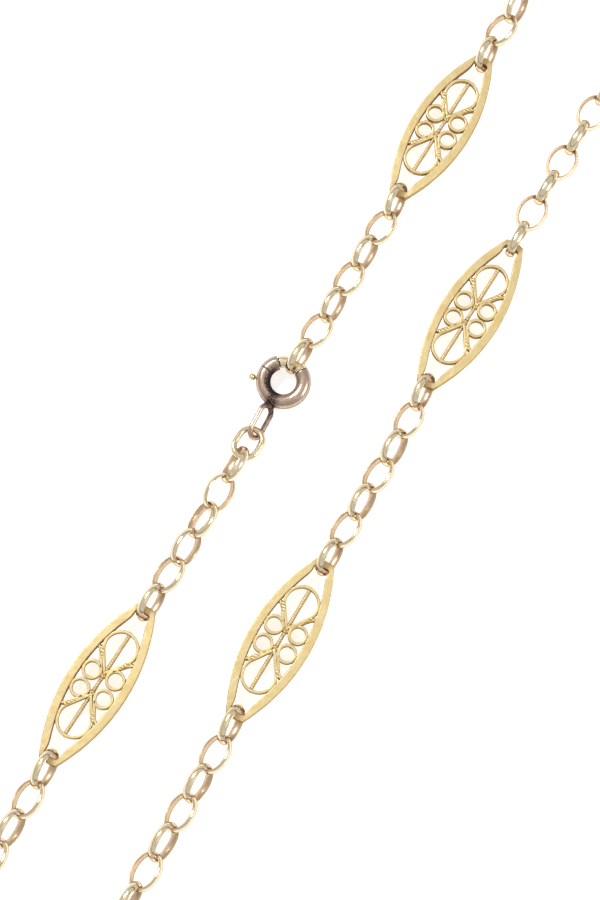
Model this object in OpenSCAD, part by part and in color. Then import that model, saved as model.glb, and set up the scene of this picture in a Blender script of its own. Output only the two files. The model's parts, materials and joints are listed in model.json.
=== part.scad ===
// A filigree necklace, laid flat as one closed loop. Ten pierced panels shaped
// like a lens alternate with runs of broad oval belcher links. A bolt ring in
// the middle of the left strand closes it, with a soldered tail loop and a
// jump ring behind it.
// Millimetres. The origin is on the surface that the loop lies on, under its
// middle. +Y runs up the two straight strands, +X to the right strand, +Z up.

/* [Panels] */
// Length of a panel over its blunt ends
panel_len = 19.2; // [18.8:0.1:19.6]
// Width of a panel across its middle
panel_w = 6.7; // [6.6:0.05:6.9]
// Half the length that the two rim curves would have if they met in points
lens_half = 11.2; // [11.18:0.01:11.3]
// Width of the flat rim
rim_w = 0.8; // [0.76:0.01:0.82]
// Height of the rim
rim_h = 0.8; // [0.7:0.05:0.8]
// Solid metal between the end of the opening and the blunt end
end_bar = 0.78; // [0.75:0.01:0.8]
// Width of the opening at its ends, where the last links go through
eye_w = 1.68; // [1.66:0.01:1.7]

/* [Filigree] */
// Height of the filigree strips, set on edge in the middle of the rim's height
strip_h = 0.56; // [0.4:0.02:0.7]
// Thickness of a filigree strip
strip_t = 0.29; // [0.22:0.01:0.32]
// Half length of the straight middle bar
bar_half = 6.25; // [6:0.05:6.25]
// Width of the middle bar
bar_w = 0.38; // [0.3:0.02:0.4]
// Distance of the round end of a drop-shaped loop from the panel's middle
loop_u = 4.4; // [4.38:0.01:4.42]
// Radius of the round end of a loop, to the middle of the strip
loop_r = 1.79; // [1.77:0.01:1.81]
// Half angle of a loop's point
loop_taper = 34.6; // [34.4:0.1:34.8]
// Distance of the nearer small rings from the panel's middle, lengthwise
ring_near = 1.02; // [1:0.01:1.04]
// Distance of the farther small rings from the panel's middle, lengthwise
ring_far = 1.26; // [1.24:0.01:1.28]
// Distance of a small ring from the panel's middle, crosswise
ring_v = 1.38; // [1.36:0.01:1.39]
// Radius of a small ring, to the middle of the strip
ring_r = 0.93; // [0.92:0.01:0.95]
// Radius of the solder where the loop's arms meet the bar
solder_r = 0.36; // [0.32:0.02:0.42]
// Radius of the grains on the arms
grain_r = 0.17; // [0.12:0.01:0.2]

/* [Links] */
// Outer length of a link
link_len = 4.5; // [4.49:0.01:4.52]
// Outer width of a link
link_w = 3.3; // [3.25:0.05:3.4]
// Thickness of a link's band in its middle
link_t = 0.39; // [0.34:0.01:0.39]
// Breadth of a link's band
band_w = 0.96; // [0.8:0.02:0.96]
// Rise of the band's outer face over its edges
crown_out = 0.2; // [0.16:0.01:0.22]
// Rise of the band's inner face over its edges
crown_in = 0.12; // [0.08:0.01:0.13]
// Distance from one link to the next
link_pitch = 3.45; // [3.43:0.01:3.47]
// Distance from a panel's middle to the point that its last link turns about
panel_pivot = 8.525; // [8.5:0.005:8.55]

/* [Clasp] */
// Radius of the bolt ring, to the middle of its tube
clasp_r = 2.225; // [2.2:0.005:2.25]
// Outer radius of the tube
tube_r = 0.775; // [0.76:0.005:0.79]
// Radius of the bore that the tongue slides in
bore_r = 0.62; // [0.6:0.01:0.63]
// Radius of the tongue
tongue_r = 0.5; // [0.46:0.01:0.5]
// Radius of the ball on the trigger
ball_r = 0.37; // [0.33:0.01:0.4]
// Tilt of the bolt ring, its tongue side raised by the link it holds
clasp_tilt = 4.5; // [4.3:0.1:4.7]
// Height of the bolt ring's middle over the surface
clasp_z = 1.3; // [1.29:0.01:1.32]
// Thickness of the tail loop's wire
tail_t = 0.52; // [0.48:0.01:0.55]
// Thickness of the jump ring's wire
jump_t = 0.7; // [0.64:0.01:0.72]

/* [Course of the loop] */
// Distance between the two straight strands
strand_gap = 13.8; // [13.6:0.1:14]
// Radius of the round bends at both ends
bend_r = 17; // [17:0.05:17.1]
// Length of the left strand from the clasp to the start of the upper bend
upper_run = 55.3; // [55.2:0.1:55.5]

/* [Hidden] */
$fn = 40;

panel_gold = [0.93, 0.79, 0.47];
link_gold = [0.94, 0.83, 0.6];
clasp_gold = [0.72, 0.56, 0.42];

// The chain runs, counted from the clasp up the left strand and round: the roll at
// the first link, a quarter and three quarters of the way, and at the last link,
// and the number of links. A positive roll lifts the side that is on the left of the
// way round. The second, fourth and sixth link of a run lie across the others.
COUNT = 4;
runs = [
  [77, 64, 64, 69, 7],
  [70, 64, 64, 75, 7],
  [90, 90, 90, 90, 7],
  [90, 90, 90, 90, 7],
  [90, 90, 90, 90, 7],
  [-68, -58, -58, -66, 7],
  [-68, -60, -60, -75, 7],
  [90, 90, 90, 90, 7],
  [90, 90, 90, 90, 7],
  [75, 62, 62, 68, 7],
  [68, 57.5, 36.5, 26, 6]
];

// Sideways wander of each straight strand: distance up from the clasp, shift.
left_wander = [
  [-60, 0], [-50, 0], [-46.6, -0.27], [-29.6, 0.22], [-21, 0.38], [-13, 0.3], [-8.9, 0.25],
  [1.6, 0], [6.8, 0.28], [17, 0.26], [22.3, 0.38], [25.7, 0.06], [42.7, 0.47], [46.1, 0.2],
  [49.6, 0.45], [60, 0]
];
right_wander = [
  [-64, 0], [-56, 0.5], [-36.5, 0.45], [-33, 0.22], [-4, 0.2], [1, 0.18], [7.9, -0.36],
  [24.9, 0.22], [31.8, 0.02], [47, 0.22], [60, 0]
];

// The way round: straights and bends, from the clasp and back to it
half_gap = strand_gap / 2;
swell = acos((half_gap + bend_r) / (2 * bend_r));
small_bend = [bend_r * swell * PI / 180, 1 / bend_r];
great_bend = [bend_r * (180 + 2 * swell) * PI / 180, -1 / bend_r];

function legs(lower_run) = [
  [upper_run, 0], small_bend, great_bend, small_bend,
  [upper_run + lower_run, 0], small_bend, great_bend, small_bend,
  [lower_run, 0]
];

// Where a line that starts at [x, y, heading] is after a length, with a bend.
function ahead(st, length, bend) = bend == 0
  ? [st[0] + length * cos(st[2]), st[1] + length * sin(st[2]), st[2]]
  : let (turned = st[2] + length * bend * 180 / PI)
    [st[0] + (sin(turned) - sin(st[2])) / bend, st[1] - (cos(turned) - cos(st[2])) / bend, turned];

// Each leg with the length and state at its start: [start, state, length, bend].
function course(parts, i = 0, start = 0, st = [-half_gap, 0, 90]) = i == len(parts)
  ? []
  : let (length = parts[i][0], bend = parts[i][1])
    concat([[start, st, length, bend]], course(parts, i + 1, start + length, ahead(st, length, bend)));

function leg_at(way, s, i) = i == 0 || way[i][0] <= s ? way[i] : leg_at(way, s, i - 1);
function wander(x, y) = lookup(y, x < 0 ? left_wander : right_wander);

// The point at length s along the way.
function spot(way, s) =
  let (leg = leg_at(way, s, len(way) - 1), p = ahead(leg[1], s - leg[0], leg[3]))
  [p[0] + wander(p[0], p[1]), p[1]];

// The next length along the way that is a straight distance d from s.
function onward(way, s, d, guess, tries) = tries == 0
  ? guess
  : onward(way, s, d, guess + d - norm(spot(way, guess) - spot(way, s)), tries - 1);

// Stations: the points that the links and panels turn about
// The bolt ring holds the first link here, and the jump ring the last one.
hook_pivot = 1.59;
jump_pivot = 8.9;
steps = [
  for (r = [0 : len(runs) - 1])
    for (i = [0 : runs[r][COUNT]])
      if (i < runs[r][COUNT] || r < len(runs) - 1)
        i < runs[r][COUNT] ? link_pitch : 2 * panel_pivot
];

function stations(way, i = 0, s = hook_pivot) = i == len(steps)
  ? [s]
  : concat([s], stations(way, i + 1, onward(way, s, steps[i], s + steps[i], 8)));

// The lower straights take up what is left, so that the loop closes.
function surplus(way) =
  let (last = way[len(way) - 1], all = stations(way))
  all[len(all) - 1] - (last[0] + last[2] - jump_pivot);
function closed_run(run, tries) = tries == 0
  ? run
  : closed_run(run + surplus(course(legs(run))) / 2, tries - 1);

lower_run = closed_run(61.3, 5);
way = course(legs(lower_run));
spots = [for (s = stations(way)) spot(way, s)];
middle_y = (upper_run - lower_run) / 2;

// Links
crown_out_r = (band_w * band_w / 4 + crown_out * crown_out) / (2 * crown_out);
crown_in_r = (band_w * band_w / 4 + crown_in * crown_in) / (2 * crown_in);

// Section of a link's band, crowned on its outer and inner face.
module band() intersection() {
  translate([-crown_out_r, 0]) circle(crown_out_r);
  translate([crown_in_r - link_t, 0]) circle(crown_in_r);
  square([2 * link_t, band_w], center = true);
}

// A belcher link: the band taken round a long loop.
module link() {
  side = link_len - link_w;
  for (half = [0, 180]) rotate([0, 0, half]) {
    translate([side / 2, 0, 0]) rotate([0, 0, -90])
      rotate_extrude(angle = 180) translate([link_w / 2, 0]) band();
    translate([-side / 2, link_w / 2, 0]) rotate([90, 0, 90]) linear_extrude(side) band();
  }
}

// Height of a link's middle when it rests on the surface at this roll.
function rest(roll) = let (c = abs(cos(roll)), s = abs(sin(roll)))
  crown_out_r * c <= band_w / 2
    ? (link_w / 2 - crown_out_r) * s + crown_out_r
    : (link_w / 2 - crown_out) * s + band_w / 2 * c;

// Places its child between two stations, along the way, rolled about it.
module between(p, q, roll) {
  d = q - p;
  translate((p + q) / 2)
    rotate([0, -atan2(d[2], norm([d[0], d[1]])), atan2(d[1], d[0])])
      rotate([roll, 0, 0])
        children();
}

function first_station(r) = r == 0 ? 0 : first_station(r - 1) + runs[r - 1][COUNT] + 1;
function link_roll(r, i) =
  let (
    run = runs[r],
    roll = lookup(i / (run[COUNT] - 1), [[0, run[0]], [0.25, run[1]], [0.75, run[2]], [1, run[3]]]))
  i % 2 == 0 ? roll : roll - 90 * sign(roll);
// Height of a station: what the higher one of its two links needs.
function station_z(r, i) = max(
  rest(link_roll(r, max(i - 1, 0))),
  rest(link_roll(r, min(i, runs[r][COUNT] - 1))));
function station(r, i) = concat(spots[first_station(r) + i] - [0, middle_y], station_z(r, i));

// One run of interlocking links.
module chain(r) color(link_gold)
  for (i = [0 : runs[r][COUNT] - 1])
    between(station(r, i), station(r, i + 1), link_roll(r, i))
      link();

// Panels
half_w = panel_w / 2;
lens_r = (lens_half * lens_half + half_w * half_w) / (2 * half_w);
lens_c = lens_r - half_w;
opening_half = panel_len / 2 - end_bar;
// The blunt ends are cut to this gentle arc.
end_arc = 4.1;
eye_corner = 0.25;
eye_depth = 1.4;

module both_ways() for (turned = [0, 180]) rotate([0, 0, turned]) children();
module four_ways() for (u = [0, 1], v = [0, 1]) mirror([u, 0, 0]) mirror([0, v, 0]) children();

module lens(r) intersection() {
  translate([0, lens_c]) circle(r);
  translate([0, -lens_c]) circle(r);
}

module rim_outline() intersection() {
  lens(lens_r);
  union() {
    square([panel_len - 2 * end_arc, panel_w], center = true);
    both_ways() intersection() {
      translate([panel_len / 2 - end_arc, 0]) circle(end_arc);
      translate([panel_len / 2 - end_arc, -end_arc]) square([2 * end_arc, 2 * end_arc]);
    }
  }
}

// The eye at an end of the opening, with rounded corners.
module eye() {
  deep = opening_half - eye_depth;
  translate([deep, -eye_w / 2]) square([eye_depth - eye_corner, eye_w]);
  translate([deep, eye_corner - eye_w / 2]) square([eye_depth, eye_w - 2 * eye_corner]);
  for (side = [-1, 1])
    translate([opening_half - eye_corner, side * (eye_w / 2 - eye_corner)]) circle(eye_corner);
}

module opening() {
  intersection() {
    lens(lens_r - rim_w);
    square([2 * opening_half - eye_depth, panel_w], center = true);
  }
  both_ways() eye();
}

// A drop with its point towards the middle of the panel. Its straight sides end just
// inside the round part.
side_in = 0.99;
module drop(r) {
  out = side_in * r * cos(loop_taper);
  back = side_in * r * sin(loop_taper);
  circle(r);
  polygon([[-r / sin(loop_taper), 0], [-back, out], [-back, -out]]);
}

module drop_loop() translate([loop_u, 0]) difference() {
  drop(loop_r + strip_t / 2);
  drop(loop_r - strip_t / 2);
}

module small_ring(u) translate([u, ring_v]) difference() {
  circle(ring_r + strip_t / 2);
  circle(ring_r - strip_t / 2);
}

// Where a loop's arm starts, and a small ring's place in it: along the arm, and
// out from the arm to the near side of the ring.
arm_from = loop_u - loop_r / sin(loop_taper);
arm_reach = 3.45;
function ring_along(u) = (u - arm_from) * cos(loop_taper) + ring_v * sin(loop_taper);
function tail_out(u) = ring_v * cos(loop_taper) - (u - arm_from) * sin(loop_taper) - ring_r;

// The strip that leaves a small ring and runs beside the loop's arm to the rim,
// soldered to the arm.
module ring_tail(u) translate([arm_from, 0]) rotate([0, 0, loop_taper])
  translate([ring_along(u) - strip_t, 0])
    square([arm_reach - ring_along(u) + strip_t, tail_out(u) + 0.4 * strip_t]);

// A small ring with its tail, and the solder that holds it to the bar and the rim.
web_side = 0.62;
dot_r = 0.24;
module ring_and_tail(u) {
  small_ring(u);
  ring_tail(u);
  polygon([[0, 0], [web_side, 0], [0, ring_v - strip_t / 2]]);
  translate([u, ring_v + ring_r]) circle(dot_r);
}

// Solder that joins a loop's side to the rim.
module side_solder() translate([loop_u, loop_r + strip_t]) circle(solder_r);

module filigree_outline() {
  square([2 * bar_half, bar_w], center = true);
  both_ways() {
    drop_loop();
    translate([arm_from, 0]) circle(solder_r);
    ring_and_tail(ring_near);
    mirror([0, 1]) ring_and_tail(ring_far);
  }
  four_ways() side_solder();
}

// Grains of solder along a loop's arm.
grain_at = [1.7, 2.1, 2.5];
grain_out = 0.12;
module grains() four_ways() translate([arm_from, 0, strip_h / 2]) rotate([0, 0, loop_taper])
  for (along = grain_at) translate([along, grain_out, 0]) sphere(grain_r);

module panel_body() {
  linear_extrude(rim_h, center = true) difference() {
    rim_outline();
    opening();
  }
  linear_extrude(strip_h, center = true) intersection() {
    lens(lens_r - rim_w / 2);
    filigree_outline();
  }
  grains();
}

module panel(p) color(panel_gold)
  between(station(p, runs[p][COUNT]), station(p + 1, 0), 0)
    panel_body();

// Clasp
// Angles round the bolt ring, counted to the left from up the strand.
body_from = 45;
body_to = 330;
groove_at = 84;
tongue_from = -34;
tongue_to = 125;
trigger_at = 110.7;
bore_to = 190;
socket_from = 323;
travel = 50;
slot_w = 0.5;
slot_spare = 5.3;
stem_r = 0.14;
ball_at = 3.48;
groove_r = 0.73;
tail_near = 2.85;
tail_far = 7.25;
tail_w = 2.36;
tail_roll = 54;
tail_yaw = 3;
jump_at = -7.83;
jump_len = 4.2;
jump_w = 3.3;
jump_roll = -3;
jump_z = 1.28;
jump_pitch = 7.5;
jump_shift = 0.2;

// A closed loop of round wire with straight sides and half-round ends.
module wire_loop(length, width, wire) {
  r = (width - wire) / 2;
  side = length - width;
  for (half = [0, 180]) rotate([0, 0, half]) {
    translate([side / 2, 0, 0]) rotate([0, 0, -90])
      rotate_extrude(angle = 180) translate([r, 0]) circle(wire / 2);
    translate([-side / 2, r, 0]) rotate([0, 90, 0]) cylinder(r = wire / 2, h = side);
  }
}

module round_sweep(from, to, at = clasp_r) rotate([0, 0, from])
  rotate_extrude(angle = to - from) translate([at, 0]) children();

module at_clasp() translate([-half_gap, -middle_y, clasp_z])
  rotate([0, 0, 90])
    rotate([0, -clasp_tilt, 0])
      children();

module tube() difference() {
  round_sweep(body_from, body_to) circle(tube_r);
  round_sweep(body_from - 2, bore_to) circle(bore_r);
  round_sweep(socket_from, body_to + 2) circle(bore_r);
  round_sweep(trigger_at - slot_spare, trigger_at + travel + slot_spare)
    translate([0, -slot_w / 2]) square([2 * tube_r, slot_w]);
  round_sweep(groove_at - 1.5, groove_at + 1.5) difference() {
    circle(1.2 * tube_r);
    circle(groove_r);
  }
}

// Level, and on its edge, from the lower side of the tube.
module tail_loop() translate([-tail_near, 0, 0])
  rotate([0, clasp_tilt, tail_yaw])
    translate([(tail_near - tail_far) / 2, 0, 0])
      rotate([tail_roll, 0, 0])
        wire_loop(tail_far - tail_near, tail_w, tail_t);

module bolt_ring() color(clasp_gold) at_clasp() {
  tube();
  tail_loop();
}

module bolt_trigger() color(panel_gold) at_clasp() {
  round_sweep(tongue_from, tongue_to) circle(tongue_r);
  rotate([0, 0, trigger_at]) {
    translate([clasp_r, 0, 0]) rotate([0, 90, 0]) cylinder(r = stem_r, h = ball_at - clasp_r);
    translate([ball_at, 0, 0]) sphere(ball_r);
  }
}

module jump_ring() color(link_gold)
  translate([-half_gap + jump_shift, jump_at - middle_y, jump_z])
    rotate([0, 0, 90])
      rotate([0, jump_pitch, 0])
        rotate([jump_roll, 0, 0])
          wire_loop(jump_len, jump_w, jump_t);

module panel_01() panel(0);
module panel_02() panel(1);
module panel_03() panel(2);
module panel_04() panel(3);
module panel_05() panel(4);
module panel_06() panel(5);
module panel_07() panel(6);
module panel_08() panel(7);
module panel_09() panel(8);
module panel_10() panel(9);
module chain_01() chain(0);
module chain_02() chain(1);
module chain_03() chain(2);
module chain_04() chain(3);
module chain_05() chain(4);
module chain_06() chain(5);
module chain_07() chain(6);
module chain_08() chain(7);
module chain_09() chain(8);
module chain_10() chain(9);
module chain_11() chain(10);

panel_01();
panel_02();
panel_03();
panel_04();
panel_05();
panel_06();
panel_07();
panel_08();
panel_09();
panel_10();
chain_01();
chain_02();
chain_03();
chain_04();
chain_05();
chain_06();
chain_07();
chain_08();
chain_09();
chain_10();
chain_11();
bolt_ring();
bolt_trigger();
jump_ring();
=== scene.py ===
"""A gold filigree necklace laid flat on a white table: pierced lens-shaped
panels between runs of broad belcher links, closed by a bolt ring.

Every piece is modelled in millimetres in its own frame, set in the place of
its node and scaled to metres."""
import json
import math
import random
import bpy
import numpy as np
from mathutils import Matrix, Vector


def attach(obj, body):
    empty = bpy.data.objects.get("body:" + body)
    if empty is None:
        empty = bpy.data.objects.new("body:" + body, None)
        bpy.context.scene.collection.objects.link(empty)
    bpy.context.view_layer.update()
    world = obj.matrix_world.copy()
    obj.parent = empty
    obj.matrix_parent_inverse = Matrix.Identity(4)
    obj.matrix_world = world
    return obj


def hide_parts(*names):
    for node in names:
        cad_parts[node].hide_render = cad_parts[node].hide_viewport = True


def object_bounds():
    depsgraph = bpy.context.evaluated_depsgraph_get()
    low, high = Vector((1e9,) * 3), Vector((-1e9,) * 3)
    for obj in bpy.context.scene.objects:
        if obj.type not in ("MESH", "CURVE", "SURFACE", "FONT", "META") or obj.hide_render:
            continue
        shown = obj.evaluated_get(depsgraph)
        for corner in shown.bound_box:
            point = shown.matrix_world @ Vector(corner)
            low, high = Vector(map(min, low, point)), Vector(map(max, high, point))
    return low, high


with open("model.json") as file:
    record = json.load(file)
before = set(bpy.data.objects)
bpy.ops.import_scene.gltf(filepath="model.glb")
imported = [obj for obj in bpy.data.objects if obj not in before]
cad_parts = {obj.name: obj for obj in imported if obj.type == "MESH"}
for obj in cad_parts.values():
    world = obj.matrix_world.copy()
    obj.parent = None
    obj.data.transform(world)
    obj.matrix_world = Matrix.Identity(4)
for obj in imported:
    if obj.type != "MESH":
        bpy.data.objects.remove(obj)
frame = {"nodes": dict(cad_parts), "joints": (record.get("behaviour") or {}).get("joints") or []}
cad_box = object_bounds()

MM = 0.001
UP = Vector((0, 0, 1))

# Links, in millimetres. LINK_ROUND is the power of their oval: 2 is an ellipse.
LINK_LEN = 4.5
LINK_W = 3.3
BAND_W = 0.96
BAND_T = 0.39
CROWN_OUT = 0.2
CROWN_IN = 0.12
LINK_ROUND = 2.05
LINK_STEPS = 72

# Panels, in millimetres: u runs along a panel, v across it, w up from it.
# LENS_HALF is half the length that the rim's two curves would have if they met in
# points. An eye is the end of the opening, where the next link goes through.
# END_BAR is the metal beyond it, END_ARC the radius of the panel's blunt end.
PANEL_LEN = 19.2
PANEL_W = 6.7
LENS_HALF = 11.2
RIM_W = 0.9
RIM_H = 0.92
RIM_ROUND = 0.1
END_BAR = 0.78
EYE_W = 1.68
END_ARC = 4.1
EYE_CORNER = 0.25
STRIP_H = 0.68
STRIP_T = 0.32
STRIP_ROUND = 0.075
STRIP_TOP = STRIP_H / 2
BAR_HALF = 6.25
BAR_R = 0.22
BEADS = 46
LOOP_U = 4.4
LOOP_R = 1.79
LOOP_TAPER = math.radians(34.6)
# Where the straight arms of a loop meet, and the directions along and out from one
ARM_FROM = LOOP_U - LOOP_R / math.sin(LOOP_TAPER)
ARM_ALONG = np.array([math.cos(LOOP_TAPER), math.sin(LOOP_TAPER)])
ARM_OUT = np.array([-math.sin(LOOP_TAPER), math.cos(LOOP_TAPER)])
ARM_REACH = 3.3
RING_R = 0.93
RING_V = 1.38
# A ring's distance along the panel: the near one of each pair, and the far one
RING_NEAR = 1.02
RING_FAR = 1.26

# Clasp, in millimetres, with angles in degrees counted to the left from up the strand.
# The tube's body is open at its bore end, and has a short socket at its other end.
CLASP_R = 2.2
TUBE_R = 0.805
TUBE_SIDES = 40
BORE_R = 0.69
TONGUE_R = 0.5
TONGUE_SIDES = 24
SLEEVE = 0.13
BODY_FROM, BODY_TO = 45, 330
SOCKET_FROM = 323
BORE_TO = 190
TONGUE_FROM, TONGUE_TO = -34, 125
SEAM_AT = 84
TRIGGER_AT = 110.7
SLOT_FROM, SLOT_TO = 105.4, 166
SLOT_HALF = 0.25
BALL_R = 0.41
BALL_AT = 3.43
STEM_R = 0.14
TAIL_NEAR, TAIL_FAR = 2.85, 7.25
TAIL_W = 2.36
TAIL_T = 0.57
TAIL_ROLL = math.radians(54)
TAIL_YAW = math.radians(3)
CLASP_TILT = math.radians(4.5)
JUMP_LEN = 4.2
JUMP_W = 3.3
JUMP_T = 0.7


class Shape:
    """Points, faces and two values a point: how much tarnish and painted shade it
    carries, and where it is in its piece's own millimetres."""

    def __init__(self):
        self.points, self.faces, self.tarnish, self.local = [], [], [], []
        self.count = 0

    def add(self, points, faces, tarnish=0.0):
        """Adds a mesh, with one amount of tarnish and painted shade for all of it or one a point.
        """
        points = np.asarray(points, float).reshape(-1, 3)
        self.points.append(points)
        self.local.append(points)
        self.tarnish.append(np.broadcast_to(np.asarray(tarnish, float).ravel(), len(points)))
        self.faces += [tuple(i + self.count for i in f) for f in faces]
        self.count += len(points)

    def put(self, other, matrix):
        """Adds another shape, moved by a 4 by 4 matrix."""
        m = np.array(matrix)
        points = np.vstack(other.points)
        self.points.append(points @ m[:3, :3].T + m[:3, 3])
        self.local += other.local
        self.tarnish += other.tarnish
        self.faces += [tuple(i + self.count for i in f) for f in other.faces]
        self.count += other.count

    def piece(self, name, node, body, material):
        """Makes the object in metres that takes the place of a node."""
        mesh = bpy.data.meshes.new(name)
        mesh.from_pydata((np.vstack(self.points) * MM).tolist(), [], self.faces)
        mesh.validate()
        mesh.shade_smooth()
        # This point attribute carries real tarnish and painted shade alike.
        tarnish = mesh.attributes.new("tarnish", "FLOAT", "POINT")
        tarnish.data.foreach_set("value", np.concatenate(self.tarnish))
        local = mesh.attributes.new("local", "FLOAT_VECTOR", "POINT")
        local.data.foreach_set("vector", np.vstack(self.local).ravel())
        mesh.materials.append(material)
        made = bpy.data.objects.new(name, mesh)
        bpy.context.scene.collection.objects.link(made)
        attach(made, body)
        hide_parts(node)


def grid_faces(rows, columns, closed_rows, closed_columns):
    """Quads over a grid of points, wrapped round in either direction."""
    quads = []
    for i in range(rows if closed_rows else rows - 1):
        for j in range(columns if closed_columns else columns - 1):
            a, b = i * columns, (i + 1) % rows * columns
            k = (j + 1) % columns
            quads.append((a + j, b + j, b + k, a + k))
    return quads


def sweep(shape, path, side, up, section, closed=False, tarnish=0.0):
    """Carries a section (side, up) along a path. The section may change from
    one point of the path to the next. An open path gets flat ends."""
    path, side, up = (np.asarray(a, float) for a in (path, side, up))
    section = np.asarray(section, float)
    if section.ndim == 2:
        section = np.broadcast_to(section, (len(path),) + section.shape)
    rows, columns = section.shape[:2]
    points = path[:, None] + section[..., :1] * side[:, None] + section[..., 1:] * up[:, None]
    faces = grid_faces(rows, columns, closed, True)
    if not closed:
        faces.append(tuple(range(columns)))
        faces.append(tuple(range((rows - 1) * columns, rows * columns))[::-1])
    shape.add(points, faces, tarnish)


def flat_frames(path, closed=False):
    """Side and up of a path that lies in a plane of constant w."""
    path = np.asarray(path, float)
    if closed:
        ahead = np.roll(path, -1, 0) - np.roll(path, 1, 0)
    else:
        ahead = np.gradient(path, axis=0)
    ahead /= np.linalg.norm(ahead, axis=1)[:, None]
    up = np.broadcast_to((0.0, 0.0, 1.0), path.shape)
    return np.cross(up, ahead), up


def ramp(values, start, over):
    """Rises from 0 at the start to 1 after the given stretch."""
    return np.clip((values - start) / over, 0, 1)


def round_section(radius, sides):
    """A circle of points round the origin."""
    a = np.arange(sides) * 2 * math.pi / sides
    return np.column_stack([np.cos(a), np.sin(a)]) * radius


def strip_section(width, height, corner, steps=3, guard=0.02):
    """A rectangle with rounded edges. Points close beside each rounding keep
    the flats flat when they are shaded."""
    made = []
    for quarter in range(4):
        sx, sy = ((1, 1), (-1, 1), (-1, -1), (1, -1))[quarter]
        cx, cy = sx * (width / 2 - corner), sy * (height / 2 - corner)
        start = quarter * math.pi / 2
        turn = [start + math.pi / 2 * k / steps for k in range(steps + 1)]
        rounding = [(cx + corner * math.cos(t), cy + corner * math.sin(t)) for t in turn]
        (x, y), (x_end, y_end) = rounding[0], rounding[-1]
        end = turn[-1]
        before = (x + guard * math.sin(start), y - guard * math.cos(start))
        after = (x_end - guard * math.sin(end), y_end + guard * math.cos(end))
        made += [before, *rounding, after]
    return np.array(made)


def arc(centre, radius, start, stop, steps):
    """Points on an arc in the plane, from one angle to another in degrees."""
    a = np.radians(np.linspace(start, stop, steps))
    return np.column_stack([centre[0] + radius * np.cos(a), centre[1] + radius * np.sin(a)])


def at_height(points, w=0.0):
    """Points of a panel or loop with the same w added to each."""
    points = np.asarray(points, float)
    return np.column_stack([points, np.full(len(points), w)])


def spread_evenly(points, count):
    """Points at equal distances along a line."""
    steps = np.linalg.norm(np.diff(points, axis=0), axis=1)
    along = np.concatenate([[0], np.cumsum(steps)])
    wanted = np.linspace(0, along[-1], count)
    return np.column_stack([np.interp(wanted, along, points[:, k]) for k in range(points.shape[1])])


def blob(shape, centre, size, rng, tarnish=0.0, rough=0.06):
    """A small drop of solder, slightly out of round."""
    rings, sides = 8, 12
    points = []
    for i in range(rings + 1):
        polar = math.pi * i / rings
        for j in range(sides):
            turn = 2 * math.pi * j / sides
            swell = 1 + rng.uniform(-rough, rough)
            points.append((
                centre[0] + size[0] * swell * math.sin(polar) * math.cos(turn),
                centre[1] + size[1] * swell * math.sin(polar) * math.sin(turn),
                centre[2] + size[2] * math.cos(polar)))
    shape.add(points, grid_faces(rings + 1, sides, False, True), tarnish)


# Placing pieces on their nodes

def solids(node):
    """The loose solids of a node: lists of triangles, in millimetres."""
    mesh = frame["nodes"][node].data
    mesh.calc_loop_triangles()
    points = np.array([v.co for v in mesh.vertices], float) / MM
    triangles = np.array([t.vertices for t in mesh.loop_triangles], int)
    _, same = np.unique(np.round(points, 4), axis=0, return_inverse=True)
    triangles_of = same.ravel()[triangles]
    label = np.arange(same.max() + 1)
    while True:
        low = label[triangles_of].min(1)
        spread = label.copy()
        np.minimum.at(spread, triangles_of.ravel(), np.repeat(low, 3))
        spread = spread[spread]
        if (spread == label).all():
            break
        label = spread
    owner = label[triangles_of[:, 0]]
    return [points[triangles[owner == k]] for k in np.unique(owner)]


def place_of(triangles):
    """The frame of a solid, from the moments of its surface: its longest way
    becomes x and its shortest way z, which points up."""
    a, b, c = triangles[:, 0], triangles[:, 1], triangles[:, 2]
    area = np.linalg.norm(np.cross(b - a, c - a), axis=1) / 2
    middle = ((a + b + c) / 3 * area[:, None]).sum(0) / area.sum()
    moment = np.zeros((3, 3))
    for p in (a - middle, b - middle, c - middle, a + b + c - 3 * middle):
        moment += (p * area[:, None]).T @ p
    ways = np.linalg.eigh(moment)[1]
    longest, shortest = ways[:, 2], ways[:, 0]
    if shortest[2] < 0:
        shortest = -shortest
    if longest[1] < 0:
        longest = -longest
    place = np.eye(4)
    place[:3, 0] = longest
    place[:3, 1] = np.cross(shortest, longest)
    place[:3, 2] = shortest
    place[:3, 3] = middle
    return place


# Links

def band_section():
    """Section of a link's band, out from its outer crown and across."""
    half = BAND_W / 2
    crown_to = 0.94
    side = half * 0.995
    in_from_crown = 0.012
    outer = [(-CROWN_OUT * t * t, half * t) for t in np.linspace(-crown_to, crown_to, 9)]
    inner = [(CROWN_IN * t * t - BAND_T, half * t) for t in np.linspace(crown_to, -crown_to, 7)]
    top = [(-CROWN_OUT - in_from_crown, side), (-BAND_T + CROWN_IN + in_from_crown, side)]
    bottom = [(p[0], -p[1]) for p in reversed(top)]
    return np.array(outer + top + inner + bottom)


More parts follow.
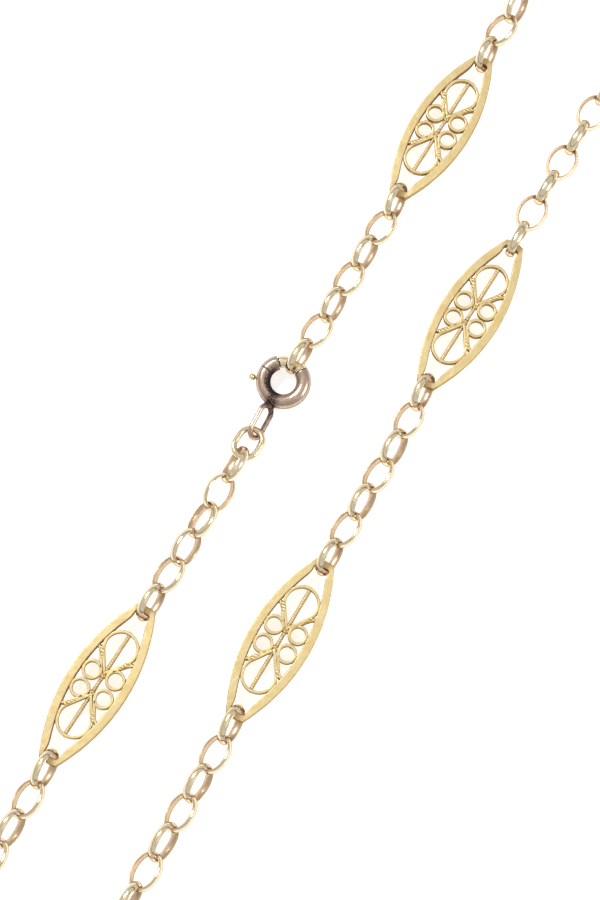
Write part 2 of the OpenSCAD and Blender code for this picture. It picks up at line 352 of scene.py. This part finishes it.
def link_shape(rng):
    """One oval link, a little uneven, with the solder seam of its band, painted shade on the band's
    inner face and more at its ends.
    """
    seam_depth, seam_spread, uneven = 0.02, 0.035, 0.008
    seam_tarnish, inner_tarnish, end_tarnish = 14, 0.85, 0.3
    a, b = LINK_LEN / 2, LINK_W / 2
    turn = np.linspace(0, 2 * math.pi, 16 * LINK_STEPS, endpoint=False)
    power = 2 / LINK_ROUND
    outline = np.column_stack([
        a * np.sign(np.cos(turn)) * np.abs(np.cos(turn)) ** power,
        b * np.sign(np.sin(turn)) * np.abs(np.sin(turn)) ** power])
    path = at_height(spread_evenly(np.vstack([outline, outline[:1]]), LINK_STEPS + 1)[:-1])
    side, up = flat_frames(path, closed=True)
    angle = np.arctan2(path[:, 1], path[:, 0])
    seam = rng.choice([1.2, 1.9, -1.2, -1.9])
    dip = seam_depth * np.exp(-((angle - seam) / seam_spread) ** 2)
    wave = uneven * np.sin(3 * angle + rng.uniform(0, 6)) - uneven
    path = path + side * (dip - wave)[:, None]
    section = band_section()
    # Painted shade on the inner face of the band, and more of it at the ends where the next links
    # sit. The seam's dip is a darker joint.
    dark = np.zeros((LINK_STEPS, len(section)))
    inner = section[:, 0] < -BAND_T / 2
    ends = np.abs(np.cos(angle)) ** 6
    dark[:, inner] = inner_tarnish
    dark[:, inner] += end_tarnish * ends[:, None]
    dark += (dip * seam_tarnish)[:, None]
    made = Shape()
    sweep(made, path, -side, up, section, closed=True, tarnish=np.clip(dark, 0, 1))
    return made


# Panels

def rim_outlines():
    """The rim's outer and inner outline, a quarter of each, at matching points.
    The inner side runs smoothly from the lens into the straight side of the eye."""
    half_w = PANEL_W / 2
    lens_r = (LENS_HALF ** 2 + half_w ** 2) / (2 * half_w)
    lens_c = lens_r - half_w
    end_c = PANEL_LEN / 2 - END_ARC
    # The corner where the lens meets the blunt end, found by repeated steps
    corner = end_c
    for _ in range(60):
        v = math.sqrt(lens_r ** 2 - corner ** 2) - lens_c
        corner = end_c + math.sqrt(END_ARC ** 2 - v ** 2)
    u = np.linspace(0, corner, 200)
    outer_side = np.column_stack([u, np.sqrt(lens_r ** 2 - u ** 2) - lens_c])
    spread = math.degrees(math.asin(outer_side[-1, 1] / END_ARC))
    outer_end = arc((end_c, 0), END_ARC, spread, 0, 12)
    eye_end = PANEL_LEN / 2 - END_BAR
    u = np.linspace(0, eye_end - EYE_CORNER, 200)
    lens_v = np.sqrt((lens_r - RIM_W) ** 2 - u ** 2) - lens_c
    apart = lens_v - EYE_W / 2
    blend = 0.03
    inner_side = np.column_stack([u, EYE_W / 2 + (apart + np.sqrt(apart ** 2 + blend)) / 2])
    inner_side[:, 1] -= (inner_side[-1, 1] - EYE_W / 2) * (u / u[-1]) ** 8
    round_c = (eye_end - EYE_CORNER, EYE_W / 2 - EYE_CORNER)
    inner_end = np.vstack([arc(round_c, EYE_CORNER, 90, 0, 8), [(eye_end, 0)]])
    outer = np.vstack([spread_evenly(outer_side, 44), spread_evenly(outer_end, 9)[1:]])
    inner = np.vstack([spread_evenly(inner_side, 44), spread_evenly(inner_end, 9)[1:]])
    return outer, inner


def whole_round(quarter):
    """A closed outline from its quarter, which starts on the v axis."""
    u, v = quarter[:, 0], quarter[:, 1]
    return np.vstack([
        np.column_stack([u, v])[:-1],
        np.column_stack([u, -v])[::-1][:-1],
        np.column_stack([-u, -v])[:-1],
        np.column_stack([-u, v])[::-1][:-1]])


def add_rim(shape, rng):
    """The flat rim, with painted shade on its side walls and round its eyes, and a little
    more painted shade on the side of positive v. Its faces have slow dents."""
    eye_tarnish, eyes_from, eyes_over = 0.5, 8.3, 1.2
    inner_tarnish, outer_tarnish, limb_tarnish, wall = 0.8, 0.5, 0.14, 0.08
    dent_depth, dents_per_mm = 0.012, 1.7
    outer, inner = (whole_round(q) for q in rim_outlines())
    across = outer - inner
    width = np.linalg.norm(across, axis=1)
    side = at_height(across / width[:, None])
    up = np.broadcast_to((0.0, 0.0, 1.0), side.shape)
    path = at_height((outer + inner) / 2)
    section = np.array([strip_section(w, RIM_H, RIM_ROUND) for w in width])
    # Painted shade round the eyes, on the side walls and over the side of positive v.
    eyes = ramp(np.abs(path[:, 0]), eyes_from, eyes_over) * eye_tarnish
    dark = np.broadcast_to(eyes[:, None], section.shape[:2]).copy()
    from_edge = width[:, None] / 2 - np.abs(section[..., 0])
    inward = section[..., 0] < 0
    dark += np.where(from_edge < wall, np.where(inward, inner_tarnish, outer_tarnish), 0.0)
    dark += limb_tarnish * ramp(path[:, 1:2], 0, 1)
    dents = rng.uniform(0, 6)
    section[..., 1] *= 1 - dent_depth * (1 + np.sin(path[:, :1] * dents_per_mm + dents))
    sweep(shape, path, side, up, section, closed=True, tarnish=np.clip(dark, 0, 1))


def add_strip(shape, line, rng):
    """A filigree strip set on edge along a line in the panel. Its walls carry painted shade."""
    wall_tarnish, clean_edge = 0.8, 0.03
    path = at_height(line, rng.uniform(-0.02, 0.02))
    side, up = flat_frames(path)
    section = strip_section(STRIP_T, STRIP_H, STRIP_ROUND)
    # Painted shade on the side walls; the top and bottom edges stay clean.
    dark = np.where(np.abs(section[:, 1]) < STRIP_TOP - clean_edge, wall_tarnish, 0.0)
    sweep(shape, path, side, up, section, tarnish=np.tile(dark, len(path)))


def add_drop_loop(shape, end, rng):
    """A drop with its point at the bar and its round end away from the middle."""
    tip_in, tip_half = 0.12, 0.06
    meet = 90 + math.degrees(LOOP_TAPER)
    radius = LOOP_R + rng.uniform(-0.02, 0.03)
    round_end = arc((LOOP_U, 0), radius, meet, -meet, 48)
    start = np.array([(ARM_FROM + tip_in, tip_half)])
    finish = np.array([(ARM_FROM + tip_in, -tip_half)])
    line = spread_evenly(np.vstack([start, round_end, finish]), 84)
    add_strip(shape, line * (end, 1), rng)


def add_ring(shape, end, side, far, rng):
    """A small ring with the tail that runs beside the loop's arm to the rim, where
    it flares away from the arm."""
    round_by = 352
    beside = STRIP_T * 0.72
    flare_from, flare_out, settle = 0.55, 0.32, 1.4
    u = (RING_FAR if far else RING_NEAR) + rng.uniform(-0.03, 0.03)
    centre = (u, RING_V + rng.uniform(-0.02, 0.02))
    arm = np.array((ARM_FROM, 0))
    run = float((np.array(centre) - arm) @ ARM_ALONG)
    leave = math.degrees(LOOP_TAPER) - 90
    ring = arc(centre, RING_R, leave - round_by, leave, 44)
    touch = float((ring[-1] - arm) @ ARM_OUT)
    tail = []
    for t in np.linspace(0, 1, 14)[1:]:
        ease = t * t * (3 - 2 * t)
        place = run + (ARM_REACH - run) * t
        gap = touch + (beside - touch) * min(1, ease * settle)
        flare = flare_out * max(0, (t - flare_from) / (1 - flare_from)) ** 2
        tail.append(arm + ARM_ALONG * place + ARM_OUT * (gap + flare))
    line = spread_evenly(np.vstack([ring, tail]), 66)
    add_strip(shape, line * (end, side), rng)


def add_grains(shape, end, side, rng):
    """Solder grains over the arm and the tail: their distance along the arm, and
    their size, which is largest near the rim."""
    for distance, size in ((1.72, 0.15), (2.06, 0.2), (2.42, 0.24), (2.8, 0.19)):
        along = distance + rng.uniform(-0.06, 0.06)
        u, v = np.array((ARM_FROM, 0)) + ARM_ALONG * along + ARM_OUT * 0.14
        lift = STRIP_TOP - 0.04 + rng.uniform(-0.03, 0.02)
        scale = size * rng.uniform(0.85, 1.12)
        blob(shape, (u * end, v * side, lift), (scale * 1.15, scale, scale * 0.8), rng, 0.0)
        # The grains underneath are darker than those on top: painted shade.
        blob(shape, (u * end, v * side, -lift), (scale, scale, scale * 0.7), rng, 0.2)


def add_bar(shape, rng):
    """The middle bar: a wire beaded with close round swellings, with painted shade
    between them and on the side of negative v."""
    neck, swell, steps_per_bead = 0.86, 0.15, 6
    u = np.linspace(-BAR_HALF, BAR_HALF, BEADS * steps_per_bead + 1)
    lean = rng.uniform(-0.05, 0.05)
    path = np.column_stack([u, lean * u / BAR_HALF, np.zeros_like(u)])
    side, up = flat_frames(path)
    bead = np.abs(np.sin(math.pi * BEADS * (u + BAR_HALF) / (2 * BAR_HALF)))
    around = round_section(1, 12)
    section = around[None] * (BAR_R * (neck + swell * bead))[:, None, None]
    # Painted shade in the necks between the beads and on the side of negative v, over a slight even
    # amount all along.
    between = (1 - bead)[:, None]
    one_side = np.clip(-around[:, 0] + 0.15, 0, 1)[None]
    dark = 0.1 + 0.4 * between + 0.5 * one_side
    sweep(shape, path, side, up, section, tarnish=np.clip(dark, 0, 1))


def add_solder(shape, rng):
    """Solder where the strips meet each other, the bar and the rim. The rows give
    u and v, half the length, the width and the height, and the tarnish."""
    on_bar = (
        (ARM_FROM + 0.1, 0, 0.42, 0.3, STRIP_TOP + 0.02, 0.1),
        (0.62, 0, 0.3, 0.22, STRIP_TOP - 0.02, 0.2),
        (BAR_HALF, 0, 0.17, 0.24, STRIP_TOP, 0.3))
    beside_bar = (
        (1.05, 0.2, 0.3, 0.16, STRIP_TOP - 0.03, 0.25),
        (LOOP_U + 0.5, LOOP_R + 0.12, 0.36, 0.2, STRIP_TOP, 0.6),
        (1.05, 2.3, 0.26, 0.16, STRIP_TOP - 0.02, 0.55),
        (3.5, 2.02, 0.26, 0.2, STRIP_TOP, 0.5))
    for end in (-1, 1):
        for u, v, *size, tarnish in on_bar:
            blob(shape, (end * u, v, 0), size, rng, tarnish)
        for side in (-1, 1):
            for u, v, *size, tarnish in beside_bar:
                blob(shape, (end * u, side * v, 0), size, rng, tarnish)
    for side in (-1, 1):
        blob(shape, (0.12 * side, side * RING_V, 0), (0.2, 0.16, STRIP_TOP - 0.03), rng, 0.4)


def panel_shape(rng):
    """A whole panel. The farther ring of each pair is on the other side at the
    other end."""
    made = Shape()
    add_rim(made, rng)
    add_bar(made, rng)
    for end in (-1, 1):
        add_drop_loop(made, end, rng)
        for side in (-1, 1):
            add_ring(made, end, side, end * side < 0, rng)
            add_grains(made, end, side, rng)
    add_solder(made, rng)
    return made


# Clasp

def clasp_place():
    """The bolt ring's frame: x up the strand, z along the hinge of its trigger."""
    joint = frame["joints"][0]
    up = Vector(joint["axis"]).normalized()
    ahead = (Vector((0, 1, 0)) - up * up.y).normalized()
    left = up.cross(ahead)
    middle = Vector(joint["pos_m"]) / MM
    place = np.eye(4)
    for k, way in enumerate((ahead, left, up, middle)):
        place[:3, k] = way
    return place


def ring_frames(angles):
    """Places on the middle line of the tube, and the ways out and up there."""
    a = np.radians(angles)
    out = np.column_stack([np.cos(a), np.sin(a), np.zeros_like(a)])
    up = np.broadcast_to((0.0, 0.0, 1.0), out.shape)
    return out * CLASP_R, out, up


def bump_at(angles, centre, spread):
    """Is 1 at the centre angle, and falls off to both sides."""
    return np.exp(-((angles - centre) / spread) ** 2)


def circles_along(angles, unit, radius):
    """A circle of points round the middle line of the tube at each angle."""
    path, out, up = ring_frames(angles)
    flat = unit[None] * np.broadcast_to(radius, len(angles))[:, None, None]
    return path[:, None] + flat[..., :1] * out[:, None] + flat[..., 1:] * up[:, None]


def tube_faces(in_slot, rows, columns, inner_rows):
    """Faces over the points of a tube: rows of circles on its outside, as many on
    the wall of its bore, and the two circles of the socket at its far end."""
    n = rows * columns
    faces = []
    for i in range(rows - 1):
        for j in range(columns):
            k = (j + 1) % columns
            slot = j == 0 and in_slot[i]
            a, b = i * columns, (i + 1) * columns
            if not slot:
                faces.append((a + j, a + k, b + k, b + j))
            if i < inner_rows - 1 and not slot:
                faces.append((n + a + j, n + b + j, n + b + k, n + a + k))
        if in_slot[i]:
            a, b = i * columns, (i + 1) * columns
            faces.append((a, b, n + b, n + a))
            faces.append((a + 1, n + a + 1, n + b + 1, b + 1))
    for j in range(columns):
        k = (j + 1) % columns
        faces.append((j, n + j, n + k, k))
    last, socket = (rows - 1) * columns, 2 * n
    for j in range(columns):
        k = (j + 1) % columns
        faces.append((last + j, last + k, socket + k, socket + j))
        faces.append((socket + j, socket + k, socket + columns + k, socket + columns + j))
    faces.append(tuple(range(socket + columns, socket + 2 * columns)))
    bore_end = n + (inner_rows - 1) * columns
    faces.append(tuple(range(bore_end, bore_end + columns)))
    return faces


def add_tube(shape):
    """The hollow body, slotted on its outer side for the trigger. Its seam is darker; its
    lips, the place of the tail loop, the inner wall on its left and its bore carry painted shade."""
    seam_depth, lip_depth = 0.05, 0.03
    lip_tarnish, tail_tarnish, wall_tarnish = 0.6, 0.9, 2.8
    # Stations along the tube, closer together by the seam, the slot and the far lip
    angles = np.concatenate([
        np.arange(BODY_FROM, SLOT_FROM, 1.5), np.arange(SLOT_FROM, SLOT_TO, 2.0),
        np.arange(SLOT_TO, BORE_TO, 3.0), np.arange(BORE_TO, BODY_TO - 2.0, 3.0),
        [BODY_TO - 1.5, BODY_TO - 0.5, BODY_TO]])
    edge = math.asin(SLOT_HALF / TUBE_R)
    rest = np.linspace(edge, 2 * math.pi - edge, TUBE_SIDES)[1:-1]
    section_turn = np.concatenate([[-edge], [edge], rest])
    unit = np.column_stack([np.cos(section_turn), np.sin(section_turn)])
    seam = bump_at(angles, SEAM_AT, 1.4)
    lip = bump_at(angles, BODY_FROM, 1.2) + bump_at(angles, BODY_TO, 1.2)
    outside = circles_along(angles, unit, TUBE_R * (1 - seam_depth * seam - lip_depth * lip))
    inside = circles_along(angles, unit, BORE_R)
    mouth = circles_along(np.array([BODY_TO, SOCKET_FROM]), unit, BORE_R)
    rows, columns = len(angles), len(unit)
    in_slot = (angles >= SLOT_FROM - 0.1) & (angles < SLOT_TO)
    faces = tube_faces(in_slot, rows, columns, int((angles < BORE_TO).sum()))
    # Painted shade at the lips, round the tail loop and on the inner wall on the left, where a dark
    # reflection is painted; the seam is a darker joint.
    dark = 0.3 + np.zeros((rows, columns))
    dark += (seam + lip * lip_tarnish + bump_at(angles, 180, 16) * tail_tarnish)[:, None]
    inward = np.clip(-0.05 - unit[:, 0], 0, 1)
    dark += bump_at(angles, 125, 55)[:, None] * inward[None] * wall_tarnish
    points = np.vstack([outside.reshape(-1, 3), inside.reshape(-1, 3), mouth.reshape(-1, 3)])
    # The bore and the socket are fully darkened: painted shade inside the tube.
    bore_shade = np.ones(len(points) - rows * columns)
    shape.add(points, faces, np.clip(np.concatenate([dark.ravel(), bore_shade]), 0, 2))


def loop_line(length, width, wire, steps):
    """Closed centre line of a long wire loop, with its side frames."""
    r, half = (width - wire) / 2, (length - width) / 2
    ends = [arc((half, 0), r, -90, 90, 60), arc((-half, 0), r, 90, 270, 60)]
    line = np.vstack([*ends, [(half, -r)]])
    path = at_height(spread_evenly(line, steps + 1)[:-1])
    side, up = flat_frames(path, closed=True)
    return path, side, up


def turned(angle, axis, shift=(0, 0, 0)):
    """The matrix of a turn about an axis, then a shift."""
    return np.array(Matrix.Translation(shift) @ Matrix.Rotation(angle, 4, axis))


def bolt_ring_shape(rng):
    """The tube with its tail loop, with painted shade on one limb and near the tube, and
    the three drops of solder that hold it."""
    made = Shape()
    add_tube(made)
    loop = Shape()
    sides = 18
    path, side, up = loop_line(TAIL_FAR - TAIL_NEAR, TAIL_W, TAIL_T, 72)
    # Painted shade on the loop's limb of negative y and on its end by the tube.
    limb = ramp(-path[:, 1], 0, 1) * 0.55 + ramp(path[:, 0], 0.9, 1) * 0.9
    dark = np.repeat(np.clip(0.22 + limb, 0, 1), sides)
    sweep(loop, path, side, up, round_section(TAIL_T / 2, sides), closed=True, tarnish=dark)
    level = turned(TAIL_YAW, "Z", (-TAIL_NEAR, 0, 0)) @ turned(CLASP_TILT, "Y")
    slide = turned(TAIL_ROLL, "X", ((TAIL_NEAR - TAIL_FAR) / 2, 0, 0))
    made.put(loop, level @ slide)
    for place, size in (
            ((-3.0, 0.1, 0.12), (0.34, 0.42, 0.4)),
            ((-3.1, -0.25, -0.2), (0.3, 0.36, 0.34)),
            ((-2.98, 0.42, 0.02), (0.2, 0.22, 0.24))):
        blob(made, place, size, rng, 1.0, rough=0.12)
    return made


def trigger_shape(rng):
    """The tongue with its round tip, and the ball that moves it. The tongue is
    thicker to the left and the right of the link that it holds."""
    made = Shape()
    angles = np.linspace(TONGUE_FROM, TONGUE_TO, 160)
    path, out, up = ring_frames(angles)
    ends = np.minimum(angles - TONGUE_FROM, TONGUE_TO - angles)
    reach = ramp(ends, 0, 6.0)
    size = TONGUE_R * np.sqrt(np.clip(1 - (1 - reach) ** 2, 0.02, 1))
    # The sleeves: from 12 degrees to just before the body, and from -29 to -13
    left = ramp(angles, 12, 4) * ramp(-angles, 2 - BODY_FROM, 3)
    right = ramp(-angles, 13, 2.5) * ramp(angles, -29, 0.6)
    size += (SLEEVE * left + (TUBE_R - 0.04 - TONGUE_R) * right) * reach
    section = round_section(1, TONGUE_SIDES)[None] * size[:, None, None]
    # Painted shade on the tongue where it runs into the tube.
    shade_into_body = ramp(angles, 30, 60) * 0.5
    sweep(made, path, out, up, section, tarnish=np.repeat(shade_into_body, TONGUE_SIDES))
    stem_from, stem_to = CLASP_R, BALL_AT - BALL_R * 0.8
    stem = np.column_stack([np.linspace(stem_from, stem_to, 8), np.zeros(8), np.zeros(8)])
    side, up = flat_frames(stem)
    stem_part = Shape()
    # Painted shade on the ball's stem, which sits in the slot.
    sweep(stem_part, stem, side, up, round_section(STEM_R, 12), tarnish=0.8)
    blob(stem_part, (BALL_AT, 0, 0), (BALL_R, BALL_R, BALL_R), rng, 0.1, rough=0.0)
    made.put(stem_part, turned(math.radians(TRIGGER_AT), "Z"))
    return made


def jump_ring_shape(rng):
    """The round wire ring behind the tail loop, with painted shade on its inner side."""
    made = Shape()
    path, side, up = loop_line(JUMP_LEN, JUMP_W, JUMP_T, 96)
    section = round_section(JUMP_T / 2, 20)
    # Painted shade on the inner half of the wire.
    inner = np.clip(section[:, 0] / (JUMP_T / 2), 0, 1)
    dark = 0.05 + 0.6 * np.broadcast_to(inner, (len(path), len(section)))
    sweep(made, path, side, up, section, closed=True, tarnish=dark)
    return made


# Materials

class Nodes:
    """Short calls for the node tree of one material."""

    def __init__(self, name):
        self.material = bpy.data.materials.new(name)
        self.material.use_nodes = True
        self.tree = self.material.node_tree
        self.shader = self.tree.nodes["Principled BSDF"]

    def new(self, kind, **values):
        """A node with values for its inputs or its settings."""
        node = self.tree.nodes.new(kind)
        for key, value in values.items():
            if key in node.inputs:
                node.inputs[key].default_value = value
            else:
                setattr(node, key, value)
        return node

    def link(self, out, into):
        self.tree.links.new(out, into)

    def local(self, scale):
        """The piece's own coordinates, stretched."""
        place = self.new("ShaderNodeAttribute", attribute_name="local")
        stretch = self.new("ShaderNodeMapping")
        stretch.inputs["Scale"].default_value = scale
        self.link(place.outputs["Vector"], stretch.inputs["Vector"])
        return stretch.outputs["Vector"]

    def noise(self, vector, scale, detail=2.0, rough=0.5):
        made = self.new("ShaderNodeTexNoise", Scale=scale, Detail=detail, Roughness=rough)
        self.link(vector, made.inputs["Vector"])
        return made.outputs["Fac"]

    def range(self, value, low, high, to_low, to_high):
        made = self.new("ShaderNodeMapRange")
        made.inputs["From Min"].default_value = low
        made.inputs["From Max"].default_value = high
        made.inputs["To Min"].default_value = to_low
        made.inputs["To Max"].default_value = to_high
        self.link(value, made.inputs["Value"])
        return made.outputs["Result"]

    def math(self, kind, a, b):
        made = self.new("ShaderNodeMath", operation=kind)
        for socket, value in zip(made.inputs, (a, b)):
            if isinstance(value, (int, float)):
                socket.default_value = value
            else:
                self.link(value, socket)
        return made.outputs[0]

    def mix(self, factor, a, b):
        made = self.new("ShaderNodeMix", data_type="RGBA")
        self.link(factor, made.inputs["Factor"])
        for socket, value in ((made.inputs[6], a), (made.inputs[7], b)):
            if isinstance(value, tuple):
                socket.default_value = (*value, 1)
            else:
                self.link(value, socket)
        return made.outputs[2]


def gold(name, clean, warm, tarnish, edge, smooth, dull, brush=0.0):
    """Gold that is patchy between a clean and a warm colour, darkened and roughened towards a
    second colour by the tarnish and painted shade that each point carries, with scratches and
    shallow dents. The edge colour is the metal's tint at a grazing angle, smooth and dull are its
    least and most roughness."""
    n = Nodes(name)
    even = n.local((1, 1, 1))
    patches = n.noise(even, scale=0.9, detail=3)
    colour = n.mix(n.range(patches, 0.35, 0.65, 0, 1), clean, warm)
    # This attribute carries real tarnish and painted shade; it darkens the colour towards the dark
    # colour and roughens it.
    shade_and_stain_amount = n.new("ShaderNodeAttribute", attribute_name="tarnish").outputs["Fac"]
    specks = n.range(n.noise(even, scale=6.0, detail=4, rough=0.65), 0.35, 0.7, 0.45, 1.35)
    specked_shade_and_stain = n.math("MULTIPLY", shade_and_stain_amount, specks)
    stain_and_shade = n.range(specked_shade_and_stain, 0.05, 0.95, 0, 1)
    colour = n.mix(stain_and_shade, colour, tarnish)
    n.link(colour, n.shader.inputs["Base Color"])
    n.shader.inputs["Metallic"].default_value = 1.0
    n.shader.inputs["Specular Tint"].default_value = (*edge, 1)
    grain_way = n.local((1.2, 22, 22) if brush else (3, 3, 3))
    grain = n.noise(grain_way, scale=1.6, detail=3, rough=0.6)
    rough = n.range(grain, 0.3, 0.7, smooth, dull)
    rough = n.math("ADD", rough, n.range(stain_and_shade, 0, 1, 0, 0.3))
    n.link(rough, n.shader.inputs["Roughness"])
    dents = n.new("ShaderNodeBump", Strength=0.25, Distance=0.00012)
    n.link(n.noise(even, scale=1.3, detail=2), dents.inputs["Height"])
    scratches = n.new("ShaderNodeBump", Strength=0.12 + brush, Distance=0.00002)
    n.link(grain, scratches.inputs["Height"])
    n.link(dents.outputs["Normal"], scratches.inputs["Normal"])
    n.link(scratches.outputs["Normal"], n.shader.inputs["Normal"])
    return n.material


def white_table():
    """A matt white that also glows a little, so that it shows as white paper."""
    n = Nodes("white_table")
    n.shader.inputs["Base Color"].default_value = (0.82, 0.82, 0.82, 1)
    n.shader.inputs["Roughness"].default_value = 0.8
    n.shader.inputs["Emission Color"].default_value = (1, 1, 1, 1)
    n.shader.inputs["Emission Strength"].default_value = 0.55
    n.material.cycles.emission_sampling = "NONE"
    return n.material


# Studio

def look_at(thing, place, target, level):
    """Aims a camera or lamp, with its x axis along the given level line."""
    back = (place - target).normalized()
    right = (level - back * level.dot(back)).normalized()
    up = back.cross(right)
    thing.matrix_world = Matrix((
        (right.x, up.x, back.x, place.x), (right.y, up.y, back.y, place.y),
        (right.z, up.z, back.z, place.z), (0, 0, 0, 1)))


def add_camera(ring):
    """Close above the table, tilted a little from straight down, with the
    strands running up to the right across the picture. Returns the point aimed
    at, and the ways along the table that are level and away in the picture."""
    tilt = math.radians(14.4)
    strand = math.radians(59.66)
    distance = 230.7 * MM
    from_ring = Vector((5.225, -5.38, 0)) * MM
    sensor_mm, focal_px, picture_px = 36, 2140, 900
    aim = Vector((ring.x, ring.y, 0)) + from_ring
    right = Vector((math.sin(strand), math.cos(strand), 0))
    down = Vector((right.y, -right.x, 0))
    place = aim + (down * math.sin(tilt) + UP * math.cos(tilt)) * distance
    lens = bpy.data.cameras.new("camera")
    lens.sensor_width = sensor_mm
    lens.lens = sensor_mm * focal_px / picture_px
    lens.clip_start = 0.01
    lens.clip_end = 50
    made = bpy.data.objects.new("camera", lens)
    bpy.context.scene.collection.objects.link(made)
    look_at(made, place, aim, right)
    bpy.context.scene.camera = made
    return aim, right, -down


def add_lamp(name, place, target, size, power, level):
    """A soft box of a size in metres."""
    lamp = bpy.data.lights.new(name, "AREA")
    lamp.shape = "RECTANGLE"
    lamp.size, lamp.size_y = size
    lamp.energy = power
    made = bpy.data.objects.new(name, lamp)
    bpy.context.scene.collection.objects.link(made)
    look_at(made, place, target, level)


def add_table():
    """A wide plain floor a hair under the part."""
    half, below = 25.0, 0.00001
    mesh = bpy.data.meshes.new("table")
    corners = [(-half, -half, 0), (half, -half, 0), (half, half, 0), (-half, half, 0)]
    mesh.from_pydata(corners, [], [(0, 1, 2, 3)])
    mesh.materials.append(white_table())
    made = bpy.data.objects.new("table", mesh)
    made.location.z = cad_box[0].z - below
    bpy.context.scene.collection.objects.link(made)


def add_tent():
    """The white tent round the table: bright above, with a warm dark gap between
    its roof and its sides. The rows give height, brightness and tint."""
    world = bpy.data.worlds.new("tent")
    bpy.context.scene.world = world
    world.use_nodes = True
    tree = world.node_tree
    place = tree.nodes.new("ShaderNodeTexCoord")
    split = tree.nodes.new("ShaderNodeSeparateXYZ")
    shades = tree.nodes.new("ShaderNodeValToRGB")
    background = tree.nodes["Background"]
    tree.links.new(place.outputs["Generated"], split.inputs["Vector"])
    tree.links.new(split.outputs["Z"], shades.inputs["Fac"])
    tree.links.new(shades.outputs["Color"], background.inputs["Color"])
    background.inputs["Strength"].default_value = 1.0
    white, gap = (1, 1, 1), (1, 0.72, 0.45)
    warm, cool = (1, 0.95, 0.88), (0.95, 1, 1)
    heights = (
        (0.0, 0.42, white), (0.1, 0.7, white), (0.4, 0.8, white), (0.46, 0.2, gap),
        (0.53, 0.22, gap), (0.6, 0.8, white), (0.93, 0.66, warm), (1.0, 1.08, cool))
    stops = shades.color_ramp.elements
    while len(stops) < len(heights):
        stops.new(0.5)
    for stop, (height, shade, tint) in zip(stops, heights):
        stop.position = height
        stop.color = (*(shade * t for t in tint), 1)


# The scene

BROWN_EDGE = (0.36, 0.23, 0.12)
GREY_EDGE = (0.5, 0.4, 0.33)
# The dark colour of each gold is the colour of its tarnish and painted shade: the panels' shaded
# walls and eyes, the links' brownish inner faces.
PANEL_GOLD = gold(
    "panel_gold", clean=(0.8, 0.66, 0.365), warm=(0.76, 0.585, 0.275), tarnish=(0.36, 0.2, 0.1),
    edge=BROWN_EDGE, smooth=0.3, dull=0.44, brush=0.25)
LINK_GOLD = gold(
    "link_gold", clean=(0.83, 0.735, 0.54), warm=(0.83, 0.69, 0.46), tarnish=(0.6, 0.44, 0.31),
    edge=BROWN_EDGE, smooth=0.1, dull=0.2)
# The clasp's near-black dark colour paints a dark reflection on the tube's inner wall and shade in
# its bore, and darkens its seam and solder too.
RING_GOLD = gold(
    "clasp_gold", clean=(0.7, 0.54, 0.43), warm=(0.62, 0.46, 0.36), tarnish=(0.06, 0.04, 0.04),
    edge=GREY_EDGE, smooth=0.16, dull=0.24)
BALL_GOLD = gold(
    "ball_gold", clean=(0.88, 0.76, 0.56), warm=(0.85, 0.7, 0.46), tarnish=(0.3, 0.18, 0.1),
    edge=BROWN_EDGE, smooth=0.12, dull=0.24)

for node in sorted(frame["nodes"]):
    rng = random.Random(node)
    if node.startswith("chain"):
        run = Shape()
        for triangles in solids(node):
            run.put(link_shape(rng), place_of(triangles))
        run.piece(node + "_links", node, "root", LINK_GOLD)
    elif node.startswith("panel"):
        panel = Shape()
        panel.put(panel_shape(rng), place_of(solids(node)[0]))
        panel.piece(node + "_filigree", node, "root", PANEL_GOLD)

clasp = clasp_place()
for node, make, body, slot, material in (
        ("bolt_ring", bolt_ring_shape, "root", "clasp_gold", RING_GOLD),
        ("bolt_trigger", trigger_shape, "trigger", "panel_gold", BALL_GOLD),
        ("jump_ring", jump_ring_shape, "root", "link_gold", LINK_GOLD)):
    rng = random.Random(node)
    made = Shape()
    made.put(make(rng), place_of(solids(node)[0]) if node == "jump_ring" else clasp)
    made.piece(node + "_metal", node, body, material)

aim, level, away = add_camera(Vector(frame["joints"][0]["pos_m"]))
add_table()
add_tent()
key_place = aim + (away * 0.25 - level * 0.22 + UP * 0.4)
fill_place = aim + (level * 0.4 - away * 0.1 + UP * 0.3)
add_lamp("key", key_place, aim, size=(0.16, 0.12), power=1.25, level=level)
add_lamp("fill", fill_place, aim, size=(0.2, 0.2), power=0.7, level=level)
bpy.context.scene.view_settings.view_transform = "Standard"
